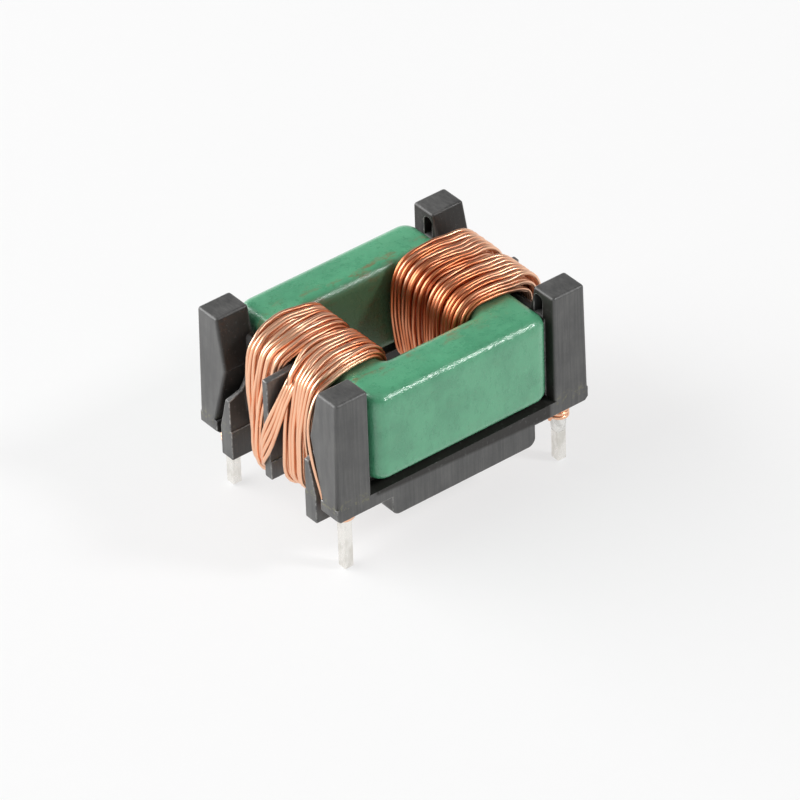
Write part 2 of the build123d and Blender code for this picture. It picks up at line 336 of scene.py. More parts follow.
@dataclass(frozen=True)
class MouldedPlastic:
    """Black filled plastic: satin, with tool marks up its sides and painted shade on its inner faces.

    Pale crumbs lie in a band at the posts' feet, and painted shade also darkens the upper part of the rims,
    under the core.
    """

    name: str = "moulded_plastic"
    dark: Colour = (0.050, 0.050, 0.050)
    pale: Colour = (0.104, 0.103, 0.100)
    residue: Colour = (0.17, 0.165, 0.09)
    # The colour of the painted shade
    painted_shade: Colour = (0.020, 0.018, 0.016)
    streak_scale: Point = (7000.0, 2500.0, 260.0)
    cloud_scale: float = 700.0
    grain_scale: float = 11000.0
    crumb_scale: float = 4200.0
    speck_scale: float = 5200.0
    tone_stops: Range = (0.12, 0.42)
    roughness: Range = (0.34, 0.50)
    specular: Range = (0.6, 0.3)
    post_reach: Range = (6.35, 6.6)
    crumb_rise: Range = (1.75, 2.0)
    crumb_fade: Range = (2.3, 2.75)
    crumb_noise: Range = (0.53, 0.62)
    crumb_share: float = 0.55
    speck_noise: Range = (0.62, 0.70)
    speck_share: Range = (0.92, 0.35)
    # The painted shade over the rims under the core: where it starts up the side, where it stops along X,
    # its tilt along X and its strength
    rim_shade_rise: Range = (1.55, 1.75)
    rim_shade_reach: Range = (6.0, 6.2)
    rim_shade_slope: float = 0.05
    rim_shade_share: float = 0.95

    def make(self) -> bpy.types.Material:
        """Make the material.

        Returns:
            The finished material.
        """
        graph = Graph(self.name)
        streaks = graph.noise(self.streak_scale, detail=4.0, rough=0.6)
        cloud = graph.noise(self.cloud_scale, detail=4.0, rough=0.6)
        tone = graph.maths("MULTIPLY", streaks, cloud)
        colour = graph.ramp(tone, self.tone_stops, (self.dark, self.pale))
        colour = graph.blend(self.crumbs(graph), colour, self.residue)
        # Painted shade on the inner faces, on the floor under the core and over the rims, broken up in
        # specks, with a lower specular level there
        inward_shade = self.painted_shade_mask(graph)
        specks = graph.noise(self.speck_scale, detail=2.0, rough=0.6)
        shade_cover = graph.maths("MULTIPLY", inward_shade, graph.grade(specks, self.speck_noise, self.speck_share))
        grain = graph.noise(self.grain_scale, detail=2.0, rough=0.5)
        fine = graph.bump(grain, strength=0.2, depth=0.02)
        return graph.dress(
            Base_Color=graph.blend(shade_cover, colour, self.painted_shade),
            Roughness=graph.grade(cloud, NOISE_SPREAD, self.roughness),
            Normal=graph.bump(streaks, strength=0.25, depth=0.03, under=fine),
            Specular_IOR_Level=graph.grade(inward_shade, (0.0, 1.0), self.specular),
        )

    def crumbs(self, graph: Graph) -> Socket:
        """Scatter crumbs in a band at the posts' feet.

        Args:
            graph: The material's graph.

        Returns:
            How much of the crumbs shows, from 0 to 1.
        """
        height = graph.axis("Z")
        band = graph.maths("MULTIPLY", graph.grade_mm(height, self.crumb_rise),
                           graph.grade_mm(height, self.crumb_fade, (1.0, 0.0)))
        posts = graph.grade_mm(graph.reach("X"), self.post_reach)
        scatter = graph.noise(self.crumb_scale, detail=3.0, rough=0.7)
        return graph.maths("MULTIPLY", graph.maths("MULTIPLY", band, posts),
                           graph.grade(scatter, self.crumb_noise, (0.0, self.crumb_share)))

    def painted_shade_mask(self, graph: Graph) -> Socket:
        """Paint shade on the faces that look in at the core and on the upper part of the rims under it.

        Args:
            graph: The material's graph.

        Returns:
            How much painted shade lies on the plastic, from 0 to 1.
        """
        # The painted shade over the upper part of the rims, along a line that tilts a little along X
        slope = graph.grade(graph.axis("X"), (-1.0, 1.0), (-self.rim_shade_slope, self.rim_shade_slope))
        slant = graph.maths("ADD", graph.axis("Z"), slope)
        run = graph.maths("MULTIPLY", graph.grade_mm(slant, self.rim_shade_rise, (0.0, self.rim_shade_share)),
                          graph.grade_mm(graph.reach("X"), self.rim_shade_reach, (1.0, 0.0)))
        return graph.maths("MAXIMUM", graph.attribute(INWARD_SHADE), run)


@dataclass(frozen=True)
class WornAndSheenPlastic:
    """The same plastic along its broken edges, paler partly for wear from handling and partly as a painted
    edge highlight.
    """

    name: str = "worn_and_sheen_plastic"
    dark: Colour = (0.075, 0.075, 0.075)
    pale: Colour = (0.30, 0.295, 0.28)
    wear_scale: float = 2600.0
    grain_scale: float = 9000.0
    wear_stops: Range = (0.40, 0.64)
    roughness: Range = (0.46, 0.30)

    def make(self) -> bpy.types.Material:
        """Make the material.

        Returns:
            The finished material.
        """
        graph = Graph(self.name)
        wear = graph.noise(self.wear_scale, detail=4.0, rough=0.65)
        grain = graph.noise(self.grain_scale, detail=2.0, rough=0.5)
        return graph.dress(
            Base_Color=graph.ramp(wear, self.wear_stops, (self.dark, self.pale)),
            Roughness=graph.grade(wear, NOISE_SPREAD, self.roughness),
            Normal=graph.bump(grain, strength=0.2, depth=0.015),
        )


@dataclass(frozen=True)
class CoreCoating:
    """Green coating on the ferrite: semi-gloss, grainy, with rubbed marks and painted shade in the window.

    The edges of the marks and of the painted shade are given in millimetres past the window's wall.
    """

    name: str = "core_coating"
    deep: Colour = (0.070, 0.300, 0.160)
    fresh: Colour = (0.095, 0.370, 0.200)
    rubbed: Colour = (0.22, 0.15, 0.07)
    # The colour of the painted shade on the window's walls and on the legs' feet beside it
    window: Colour = (0.078, 0.112, 0.058)
    window_half: float = 3.22
    cloud_scale: float = 420.0
    mottle_scale: Point = (2600.0, 2600.0, 1500.0)
    mark_scale: Point = (700.0, 1900.0, 1300.0)
    peel_scale: float = 1500.0
    grain_scale: float = 9500.0
    gloss_scale: float = 6500.0
    tone_stops: Range = (0.34, 0.60)
    mottle_shift: Range = (-0.10, 0.10)
    mark_edge: Range = (0.7, 1.6)
    mark_fade: Range = (1.0, 0.05)
    mark_noise: Range = (0.55, 0.66)
    mark_share: float = 0.75
    # Where the painted shade in the window fades out, its strength, and how low and how far it reaches on
    # the legs' feet
    window_shade_edge: Range = (0.05, 0.45)
    window_shade_share: float = 0.8
    low_height: Range = (3.0, 3.6)
    low_edge: Range = (0.8, 1.4)
    low_share: float = 0.9
    roughness: Range = (0.24, 0.36)
    specular: Range = (0.5, 0.2)
    coat_weight: float = 0.65
    coat_roughness: float = 0.05

    def make(self) -> bpy.types.Material:
        """Make the material.

        Returns:
            The finished material.
        """
        graph = Graph(self.name)
        cloud = graph.noise(self.cloud_scale, detail=4.0, rough=0.55)
        mottle = graph.noise(self.mottle_scale, detail=3.0, rough=0.6)
        tone = graph.maths("ADD", cloud, graph.grade(mottle, NOISE_SPREAD, self.mottle_shift))
        colour = graph.ramp(tone, self.tone_stops, (self.deep, self.fresh))
        marks = graph.noise(self.mark_scale, detail=5.0, rough=0.7)
        shown = graph.maths("MULTIPLY", self.past_wall(graph, self.mark_edge, self.mark_fade),
                            graph.grade(marks, self.mark_noise, (0.0, self.mark_share)))
        colour = graph.blend(shown, colour, self.rubbed)
        # Painted shade in the window, which also lowers the specular level and the coat there
        skin = self.painted_window_shade(graph)
        peel = graph.bump(graph.noise(self.peel_scale, detail=2.0, rough=0.5), strength=0.12, depth=0.06)
        grain = graph.noise(self.grain_scale, detail=2.0, rough=0.55)
        gloss = graph.noise(self.gloss_scale, detail=2.0, rough=0.6)
        return graph.dress(
            Base_Color=graph.blend(skin, colour, self.window),
            Roughness=graph.grade(mottle, NOISE_SPREAD, self.roughness),
            Normal=graph.bump(grain, strength=0.7, depth=0.03, under=peel),
            Specular_IOR_Level=graph.grade(skin, (0.0, self.window_shade_share), self.specular),
            Coat_Weight=graph.grade(skin, (0.0, self.window_shade_share), (self.coat_weight, 0.0)),
            Coat_Roughness=self.coat_roughness,
            Coat_Normal=graph.bump(gloss, strength=1.0, depth=0.03),
        )

    def past_wall(self, graph: Graph, edge: Range, out: Range) -> Socket:
        """Fade a value out past the window's long walls.

        Args:
            graph: The material's graph.
            edge: Where the fade starts and ends, past the wall.
            out: The values there.

        Returns:
            The fading value.
        """
        span = (self.window_half + edge[0], self.window_half + edge[1])
        return graph.grade_mm(graph.reach("Y"), span, out)

    def painted_window_shade(self, graph: Graph) -> Socket:
        """Paint shade on the window's walls and on the foot of the legs beside it.

        Args:
            graph: The material's graph.

        Returns:
            How much of the painted shade shows, from 0 to 1.
        """
        walls = self.past_wall(graph, self.window_shade_edge, (self.window_shade_share, 0.0))
        low = graph.grade_mm(graph.axis("Z"), self.low_height, (self.low_share, 0.0))
        foot = graph.maths("MULTIPLY", low, self.past_wall(graph, self.low_edge, (1.0, 0.0)))
        return graph.maths("MAXIMUM", walls, foot)


@dataclass(frozen=True)
class CopperEnamel:
    """Enamelled copper wire: lacquer on copper, deep towards the window and paler outwards, as painted shade
    and painted highlight.

    The painted highlight starts nearer to the window on the left-hand winding than on the right-hand one.
    """

    name: str = "copper_enamel"
    deep: Colour = (0.64, 0.200, 0.080)
    bright: Colour = (0.94, 0.550, 0.360)
    lay_scale: Point = (260.0, 2600.0, 260.0)
    grain_scale: float = 5000.0
    tone_stops: Range = (0.45, 0.90)
    # Where the painted highlight grows along X on each winding, and how strong it gets
    highlight_left: Range = (-3.1, -5.7)
    highlight_right: Range = (4.9, 7.5)
    left_highlight_share: float = 0.45
    right_highlight_share: float = 0.4
    roughness: Range = (0.38, 0.31)
    coat_weight: float = 0.3
    coat_roughness: float = 0.3

    def make(self) -> bpy.types.Material:
        """Make the material.

        Returns:
            The finished material.
        """
        graph = Graph(self.name)
        lay = graph.noise(self.lay_scale, detail=3.0, rough=0.5)
        across = graph.axis("X")
        # Painted highlight: the wire is made paler outwards from the window, which leaves it deep there as
        # painted shade
        rubbed = graph.maths("MAXIMUM", graph.grade_mm(across, self.highlight_left, (0.0, self.left_highlight_share)),
                             graph.grade_mm(across, self.highlight_right, (0.0, self.right_highlight_share)))
        tone = graph.maths("ADD", lay, rubbed)
        grain = graph.noise(self.grain_scale, detail=2.0, rough=0.5)
        return graph.dress(
            Base_Color=graph.ramp(tone, self.tone_stops, (self.deep, self.bright)),
            Metallic=1.0,
            Roughness=graph.grade(lay, NOISE_SPREAD, self.roughness),
            Coat_Weight=self.coat_weight,
            Coat_Roughness=self.coat_roughness,
            Normal=graph.bump(grain, strength=0.05, depth=0.02),
        )


@dataclass(frozen=True)
class TinPlate:
    """Tin plate on the pins: bright, drawn lengthwise, with faint dull patches."""

    name: str = "tin_plate"
    dull: Colour = (0.74, 0.72, 0.67)
    bright: Colour = (0.90, 0.88, 0.84)
    drawn_scale: Point = (9000.0, 9000.0, 400.0)
    patch_scale: Point = (1800.0, 1800.0, 900.0)
    patch_stops: Range = (0.35, 0.55)
    roughness: Range = (0.36, 0.22)

    def make(self) -> bpy.types.Material:
        """Make the material.

        Returns:
            The finished material.
        """
        graph = Graph(self.name)
        drawn = graph.noise(self.drawn_scale, detail=3.0, rough=0.6)
        patch = graph.noise(self.patch_scale, detail=3.0, rough=0.6)
        return graph.dress(
            Base_Color=graph.ramp(patch, self.patch_stops, (self.dull, self.bright)),
            Metallic=1.0,
            Roughness=graph.grade(patch, NOISE_SPREAD, self.roughness),
            Normal=graph.bump(drawn, strength=0.08, depth=0.02),
        )


@dataclass(frozen=True)
class SolderSkin:
    """Solder that has run down a pin: bright, with a soft frozen ripple."""

    name: str = "solder_skin"
    dull: Colour = (0.66, 0.65, 0.62)
    bright: Colour = (0.88, 0.87, 0.84)
    ripple_scale: float = 2600.0
    ripple_stops: Range = (0.36, 0.60)
    roughness: Range = (0.32, 0.18)

    def make(self) -> bpy.types.Material:
        """Make the material.

        Returns:
            The finished material.
        """
        graph = Graph(self.name)
        ripple = graph.noise(self.ripple_scale, detail=3.0, rough=0.55)
        return graph.dress(
            Base_Color=graph.ramp(ripple, self.ripple_stops, (self.dull, self.bright)),
            Metallic=1.0,
            Roughness=graph.grade(ripple, NOISE_SPREAD, self.roughness),
            Normal=graph.bump(ripple, strength=0.2, depth=0.05),
        )


@dataclass(frozen=True)
class PaleCard:
    """The pale card that the object stands on, lit a little from below."""

    name: str = "pale_card"
    colour: Colour = (0.25, 0.25, 0.25)
    fibre_share: float = 0.99
    fibre_scale: float = 900.0
    glow: float = 0.67
    roughness: float = 0.8
    specular: float = 0.1

    def make(self) -> bpy.types.Material:
        """Make the material.

        Returns:
            The finished material.
        """
        graph = Graph(self.name)
        fibre = graph.noise(self.fibre_scale, detail=3.0, rough=0.5)
        dimmer = tuple(self.fibre_share * value for value in self.colour)
        return graph.dress(
            Base_Color=graph.ramp(fibre, NOISE_SPREAD, (dimmer, self.colour)),
            Roughness=self.roughness,
            Specular_IOR_Level=self.specular,
            Emission_Color=WHITE,
            Emission_Strength=self.glow,
        )


@dataclass
class Core:
    """The coated ring core, rounded on every edge."""

    length: float = 12.25
    width: float = 12.5
    bottom: float = 2.54
    height: float = 5.73
    leg: float = 3.03
    corner: float = 1.0
    edge: float = 0.75
    window_corner: float = 0.3
    round_segments: int = 10
    square_slack: float = 0.1
    level_slack: float = 1e-4
    quarters: tuple[tuple[int, int], ...] = ((1, 1), (-1, 1), (-1, -1), (1, -1))

    def build(self, finish: bpy.types.Material) -> bpy.types.Object:
        """Make the core and put it in the place of its node.

        Args:
            finish: The coating.

        Returns:
            The piece.
        """
        bm = bmesh.new()
        outer = self.loop(bm, self.length, self.width, self.corner)
        inner = self.loop(bm, self.length - 2 * self.leg, self.width - 2 * self.leg, self.window_corner)
        ring = bmesh.ops.bridge_loops(bm, edges=outer + inner)["faces"]
        raised = bmesh.ops.extrude_face_region(bm, geom=ring)["geom"]
        tops = [item for item in raised if isinstance(item, bmesh.types.BMVert)]
        bmesh.ops.translate(bm, vec=(0, 0, self.height), verts=tops)
        bmesh.ops.recalc_face_normals(bm, faces=bm.faces)
        rims = [edge for edge in bm.edges if self.is_rim(edge)]
        bmesh.ops.bevel(bm, geom=rims, offset=self.edge, offset_type="OFFSET", affect="EDGES",
                        segments=self.round_segments, profile=0.5, material=-1, clamp_overlap=False)
        piece = link_piece(mesh_from(bm, "core_body"), "core_body")
        piece.data.materials.append(finish)
        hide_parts("core")
        return piece

    def is_rim(self, edge: bmesh.types.BMEdge) -> bool:
        """Say whether an edge runs level between two faces that meet squarely.

        Args:
            edge: The edge.

        Returns:
            Whether it does.
        """
        square = edge.is_manifold and abs(edge.calc_face_angle(0) - math.pi / 2) < self.square_slack
        return square and abs(edge.verts[0].co.z - edge.verts[1].co.z) < self.level_slack

    def loop(self, bm: bmesh.types.BMesh, length: float, width: float,
             radius: float) -> list[bmesh.types.BMEdge]:
        """Add a rounded rectangle at the core's bottom.

        Args:
            bm: Where it is added.
            length: Its size along X.
            width: Its size along Y.
            radius: The radius of its corners.

        Returns:
            Its edges.
        """
        verts = []
        steps = self.round_segments
        for quarter, (sx, sy) in enumerate(self.quarters):
            for step in range(steps + 1):
                angle = math.pi / 2 * (quarter + step / steps)
                verts.append(bm.verts.new((
                    sx * (length / 2 - radius) + radius * math.cos(angle),
                    sy * (width / 2 - radius) + radius * math.sin(angle),
                    self.bottom)))
        return [bm.edges.new((verts[number - 1], vert)) for number, vert in enumerate(verts)]


@dataclass
class Base:
    """The moulded base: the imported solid's own shape with its edges broken."""

    merge_distance: float = 0.0005
    edge_round: float = 0.06
    edge_segments: int = 2
    # The material slot of the broken edges, paler for wear and for a painted edge highlight
    worn_and_sheen_slot: int = 1
    sharp_degrees: float = 50.0
    smooth_degrees: float = 42.0
    flat_degrees: float = 0.6
    # Where faces that look in at the core start and end, in millimetres, and the share on level faces under
    # the core, for the painted shade
    inner_x: Range = (3.5, 6.0)
    inner_y: Range = (1.5, 4.2)
    level_normal: float = 0.7
    level_top: float = 3.2
    level_share: float = 0.8

    def build(self, plastic: bpy.types.Material, worn_and_sheen: bpy.types.Material) -> bpy.types.Object:
        """Copy the base's node, break its edges and put the copy in its place.

        Args:
            plastic: The finish of its faces.
            worn_and_sheen: The finish of its broken edges.

        Returns:
            The piece.
        """
        bm = bmesh.new()
        bm.from_mesh(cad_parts["base"].data)
        bmesh.ops.scale(bm, vec=(1 / MM, 1 / MM, 1 / MM), verts=bm.verts)
        bmesh.ops.remove_doubles(bm, verts=bm.verts, dist=self.merge_distance)
        bmesh.ops.dissolve_limit(bm, angle_limit=math.radians(self.flat_degrees), verts=bm.verts,
                                 edges=bm.edges)
        sharp = [edge for edge in bm.edges if edge.is_manifold and edge.is_convex
                 and edge.calc_face_angle(0) > math.radians(self.sharp_degrees)]
        bmesh.ops.bevel(bm, geom=sharp, offset=self.edge_round, offset_type="OFFSET", affect="EDGES",
                        segments=self.edge_segments, profile=0.5, material=self.worn_and_sheen_slot,
                        clamp_overlap=False)
        mesh = mesh_from(bm, "base_moulding")
        mesh.set_sharp_from_angle(angle=math.radians(self.smooth_degrees))
        # Each face's share of painted shade, read by the plastic's material
        shares = [self.inward_shade(face.center / MM, face.normal) for face in mesh.polygons]
        mesh.attributes.new(INWARD_SHADE, "FLOAT", "FACE").data.foreach_set("value", shares)
        piece = link_piece(mesh, "base_moulding")
        piece.data.materials.append(plastic)
        piece.data.materials.append(worn_and_sheen)
        weight = piece.modifiers.new("face_normals", "WEIGHTED_NORMAL")
        weight.keep_sharp = True
        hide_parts("base")
        return piece

    def inward_shade(self, middle: Vector, normal: Vector) -> float:
        """Return how much painted shade a face gets for looking in at the core, from 0 to 1.

        Args:
            middle: The face's middle, in millimetres.
            normal: The face's normal.

        Returns:
            The share of painted shade: high on the inner faces of the posts and rims and on the floor under
                the core.
        """
        if normal.z > self.level_normal and middle.z < self.level_top:
            return self.level_share
        along = (-normal.x * middle.x - self.inner_x[0]) / (self.inner_x[1] - self.inner_x[0])
        across = (-normal.y * middle.y - self.inner_y[0]) / (self.inner_y[1] - self.inner_y[0])
        return min(max(along, across, 0.0), 1.0)


@dataclass(frozen=True)
class Pulley:
    """A round that the wire bends over, seen along Y."""

    x: float
    z: float
    radius: float


@dataclass(frozen=True)
class Stop:
    """A place on the way round the leg and the wall, seen along Y, with its outward angle and its stage."""

    x: float
    z: float
    angle: float
    stage: float


@dataclass(frozen=True)
class Spread:
    """Where a section's wires lie at one stage of a turn, from the tooth outwards.

    A stage between two rounds is counted in shares of the run. The swell lifts the upper layers.
    """

    stage: float
    parting: float
    reach: float
    swell: float


@dataclass(frozen=True)
class Layer:
    """One layer of a section's turns: how many, how far in from its edges and how far they sway."""

    turns: int
    inset: float
    sway: float


@dataclass(frozen=True)
class Section:
    """One of a winding's two sections: its side of the tooth, its slot and how many turns leave it."""

    side: int
    slot_from: float
    slot_to: float
    crossing: int


@dataclass(frozen=True)
class Waypoint:
    """A point where a turn crosses the tooth, and how far each further turn lies across and down from it."""

    x: float
    y: float
    z: float
    across: float = 0.0
    down: float = 0.0


SNUG = (
    Spread(0.0, 0.12, 3.02, 0.04),
    Spread(1.0, 0.08, 3.12, 0.10),
    Spread(1.5, 0.20, 3.10, 0.34),
    Spread(2.0, 0.36, 3.02, 0.38),
    Spread(2.3, 0.46, 2.92, 0.46),
    Spread(2.6, 0.52, 2.82, 0.30),
    Spread(3.0, 0.40, 2.90, 0.0),
    Spread(4.0, 0.14, 3.00, 0.02),
    Spread(4.5, 0.13, 3.01, 0.12),
    Spread(5.0, 0.12, 3.02, 0.04),
)
LOOSE = (
    Spread(0.0, 0.06, 3.04, 0.26),
    Spread(1.0, -0.06, 3.16, 0.0),
    Spread(1.5, 0.02, 3.14, 0.50),
    Spread(2.0, 0.14, 3.08, 0.64),
    Spread(2.3, 0.30, 2.96, 0.62),
    Spread(2.6, 0.46, 2.84, 0.36),
    Spread(3.0, 0.40, 2.90, 0.0),
    Spread(4.0, 0.14, 3.00, 0.06),
    Spread(4.5, 0.10, 3.02, 0.34),
    Spread(5.0, 0.06, 3.04, 0.26),
)


@dataclass
class Winding:
    """A winding: one wire in two sections round the core's leg and the end wall, led to two pins.

    The ways of the leads and of the crossing turns are written as the right-hand winding has them.
    """

    side: Side
    seed: int
    layers: tuple[Layer, ...]
    layer_rise: float
    spreads: tuple[Spread, ...]
    sections: tuple[Section, ...]
    inner_share: float
    wire: float = 0.24
    clear: float = 0.05
    slot_rise: float = 0.19
    slot_play: float = 0.04
    bow: float = 0.2
    ripple: float = 0.012
    sway_shares: Range = (0.6, 0.4)
    swell_shares: Range = (0.4, 0.6)
    bend_step: float = 36.0
    run_step: float = 1.1
    turn_resolution: int = 2
    lead_resolution: int = 5
    ring_resolution: int = 4
    spline_order: int = 4
    pin_x: float = 7.5
    pin_y: float = 5.0
    wrap_radius: float = 0.574
    wrap_top: float = 1.15
    wrap_steps: int = 8
    wrap_pitch_share: float = 1.03
    crossing_end: float = 3.6
    pulleys: tuple[Pulley, ...] = (
        Pulley(3.845, 7.52, 0.75),
        Pulley(5.375, 7.52, 0.75),
        Pulley(6.65, 7.25, 0.30),
        Pulley(7.20, 2.20, 0.30),
        Pulley(3.845, 3.29, 0.75),
    )
    crossing_way: tuple[Waypoint, ...] = (
        Waypoint(7.62, 0.60, 7.45, across=0.22),
        Waypoint(8.22, 0.56, 6.55, across=0.20),
        Waypoint(8.66, 0.50, 5.75, across=0.10, down=0.432),
        Waypoint(8.96, 0.26, 4.95, down=0.72),
        Waypoint(8.96, -0.28, 3.60, down=0.54),
        Waypoint(8.72, -0.62, 2.35, across=0.06, down=0.216),
        Waypoint(8.25, -0.82, 1.35, across=0.08, down=0.072),
        Waypoint(7.60, -0.86, 0.95, across=0.08, down=0.072),
        Waypoint(6.70, -0.70, 1.00, across=0.08),
    )
    outer_way: tuple[Point, ...] = (
        (4.6, 3.02, 8.56), (5.6, 3.04, 8.50), (6.6, 3.06, 8.22), (7.4, 3.1, 7.95), (7.9, 3.2, 7.5),
        (8.35, 3.35, 6.75), (8.58, 3.5, 5.9), (8.66, 3.78, 4.8), (8.64, 4.06, 3.75), (8.52, 4.38, 2.5),
        (8.42, 4.42, 1.7), (8.25, 4.42, 1.25), (7.9, 4.426, 1.16),
    )
    inner_way: tuple[Point, ...] = (
        (5.6, -1.3, 1.75), (6.3, -1.5, 1.5), (6.85, -2.3, 1.3), (6.93, -3.3, 1.18), (6.926, -4.4, 1.15),
    )

    def build(self, finish: bpy.types.Material) -> bpy.types.Object:
        """Lay the wire, make it a mesh and put it in the place of its node.

        Args:
            finish: The wire's enamel.

        Returns:
            The piece.
        """
        name = self.side.name.lower()
        draw = random.Random(self.seed)
        curve = bpy.data.curves.new(f"wire_{name}", "CURVE")
        curve.dimensions = "3D"
        curve.bevel_depth = self.wire / 2 * MM
        curve.bevel_resolution = self.ring_resolution
        curve.use_fill_caps = True
        for section in self.sections:
            self.lay(curve, self.route(section, draw), self.turn_resolution)
        self.lay(curve, self.outer_lead(), self.lead_resolution)
        self.lay(curve, self.inner_lead(), self.lead_resolution)
        holder = bpy.data.objects.new(f"wire_{name}", curve)
        bpy.context.scene.collection.objects.link(holder)
        laid = holder.evaluated_get(bpy.context.evaluated_depsgraph_get())
        mesh = bpy.data.meshes.new_from_object(laid)
        mesh.name = f"winding_wire_{name}"
        bpy.data.objects.remove(holder)
        for polygon in mesh.polygons:
            polygon.use_smooth = True
        mesh.materials.clear()
        mesh.materials.append(finish)
        piece = link_piece(mesh, f"winding_wire_{name}")
        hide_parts(f"winding_{name}")
        return piece

    def lay(self, curve: bpy.types.Curve, points: Iterable[Point], resolution: int) -> None:
        """Add a run of wire to the curve.

        Args:
            curve: The curve.
            points: The run's control points, in millimetres, as the right-hand winding has them.
            resolution: Steps between two points.
        """
        turn = self.side.value
        placed = [(x * turn * MM, y * turn * MM, z * MM, 1.0) for x, y, z in points]
        spline = curve.splines.new("NURBS")
        spline.points.add(len(placed) - 1)
        for point, place in zip(spline.points, placed):
            point.co = place
        spline.order_u = self.spline_order
        spline.use_endpoint_u = True
        spline.resolution_u = resolution

    def belt(self) -> list[Stop]:
        """Work out the way round the leg and the wall, as a belt runs round its pulleys.

        Returns:
            The stops, from the bottom of the window side up and over to the wall's foot.
        """
        exits = []
        for number, pulley in enumerate(self.pulleys):
            after = self.following(number)
            span = math.hypot(after.x - pulley.x, after.z - pulley.z)
            heading = math.atan2(after.z - pulley.z, after.x - pulley.x)
            exits.append(heading + math.acos((pulley.radius - after.radius) / span))
        stops: list[Stop] = []
        order = (Stage.WINDOW_FOOT, Stage.WINDOW_TOP, Stage.CORE_TOP, Stage.WALL_TOP, Stage.WALL_FOOT)
        for number in order:
            pulley = self.pulleys[number]
            entry, leave = exits[number - 1], exits[number]
            bend = (entry - leave) % (2 * math.pi)
            steps = max(1, math.ceil(math.degrees(bend) / self.bend_step))
            for step in range(steps + 1):
                angle = entry - bend * step / steps
                stops.append(Stop(pulley.x + pulley.radius * math.cos(angle),
                                  pulley.z + pulley.radius * math.sin(angle), angle, float(number)))
            stops += self.run(stops[-1], self.following(number), leave)
        return stops

    def following(self, number: int) -> Pulley:
        """Return the pulley that comes after another."""
        return self.pulleys[(number + 1) % len(self.pulleys)]

    def run(self, start: Stop, after: Pulley, leave: float) -> list[Stop]:
        """Divide the straight run from one pulley to the next.

        Args:
            start: The stop where the wire leaves the first pulley.
            after: The next pulley.
            leave: The outward angle along the run.

        Returns:
            The stops on the run, without its ends.
        """
        end_x = after.x + after.radius * math.cos(leave)
        end_z = after.z + after.radius * math.sin(leave)
        inner = int(math.hypot(end_x - start.x, end_z - start.z) // self.run_step)
        shares = [step / (inner + 1) for step in range(1, inner + 1)]
        return [Stop(start.x + (end_x - start.x) * share, start.z + (end_z - start.z) * share,
                     leave, start.stage + share) for share in shares]

    def spread(self, stage: float) -> tuple[float, float, float]:
        """Find where a section's wires lie at a stage, between the given ones.

        Args:
            stage: The stage.

        Returns:
            The parting, the reach and the swell.
        """
        for low, high in zip(self.spreads, self.spreads[1:]):
            if low.stage <= stage <= high.stage:
                share = (stage - low.stage) / (high.stage - low.stage)
                return (low.parting + (high.parting - low.parting) * share,
                        low.reach + (high.reach - low.reach) * share,
                        low.swell + (high.swell - low.swell) * share)
        raise ValueError(f"stage {stage} is past the last spread")

    def route(self, section: Section, draw: random.Random) -> list[Point]:
        """Return the control points of all the turns of a section.

        Args:
            section: The section.
            draw: The source of the wire's small wanderings.

        Returns:
            The points, in the order that the wire was wound.
        """
        belt = self.belt()
        columns = int((section.slot_to - section.slot_from) / self.wire)
        filled = [0] * columns
        points: list[Point] = []
        for number, layer in enumerate(self.layers):
            for turn in range(layer.turns):
                rank = turn if number % 2 == 0 else layer.turns - 1 - turn
                column = rank * columns // layer.turns
                slot_y = section.slot_from + (section.slot_to - section.slot_from) * (column + 0.5) / columns
                slot_h = self.clear + self.wire / 2 + self.slot_rise * filled[column]
                filled[column] += 1
                points += self.turn(section, belt, number, rank, (slot_y, slot_h), draw)
        return points

    def turn(self, section: Section, belt: list[Stop], number: int, rank: int,
             slot: tuple[float, float], draw: random.Random) -> list[Point]:
        """Return the control points of one turn.

        Args:
            section: The section.
            belt: The way round.
            number: The layer's number, from the lowest.
            rank: The turn's place in its layer, counted from the tooth.
            slot: The turn's y and height in the slot.
            draw: The source of the wire's small wanderings.

        Returns:
            The points.
        """
        layer = self.layers[number]
        share = (rank + 0.5) / layer.turns
        slot_y = slot[0] + draw.uniform(-self.slot_play, self.slot_play)
        phases = [draw.uniform(0.0, 2 * math.pi) for _ in range(3)]
        upper = number / (len(self.layers) - 1)
        lift = (self.swell_shares[0] + self.swell_shares[1] * upper) * (
            self.inner_share + (1 - self.inner_share) * share)
        crosses = number == len(self.layers) - 2 and rank < section.crossing
        points: list[Point] = []
        for place, stop in enumerate(belt):
            stage = stop.stage
            if crosses and Stage.WALL_TOP < stage <= self.crossing_end:
                if belt[place - 1].stage == Stage.WALL_TOP:
                    points += self.crossing(section.side, rank)
                continue
            parting, reach, swell = self.spread(stage)
            round_angle = 2 * math.pi * stage / len(self.pulleys)
            y = parting + layer.inset + (reach - parting - 2 * layer.inset) * share
            y += layer.sway * (self.sway_shares[0] * math.sin(phases[0] + round_angle)
                               + self.sway_shares[1] * math.sin(phases[1] + 2 * round_angle))
            if stage < Stage.CORE_TOP or stage >= Stage.WINDOW_FOOT:
                swell *= 1 - max(0.0, math.sin(stop.angle))
            h = self.clear + self.wire / 2 + self.layer_rise * number + swell * lift
            h += self.ripple * upper * (math.sin(phases[2] + 2 * round_angle) - 1)
            into_slot = self.slot_share(stage)
            y += (slot_y - y) * into_slot
            h += (slot[1] - h) * into_slot
            if Stage.WALL_TOP < stage < Stage.WALL_FOOT:
                h += self.bow * math.sin(math.pi * (stage - Stage.WALL_TOP)) ** 2
            points.append((stop.x + h * math.cos(stop.angle), section.side * y,
                           stop.z + h * math.sin(stop.angle)))
        return points

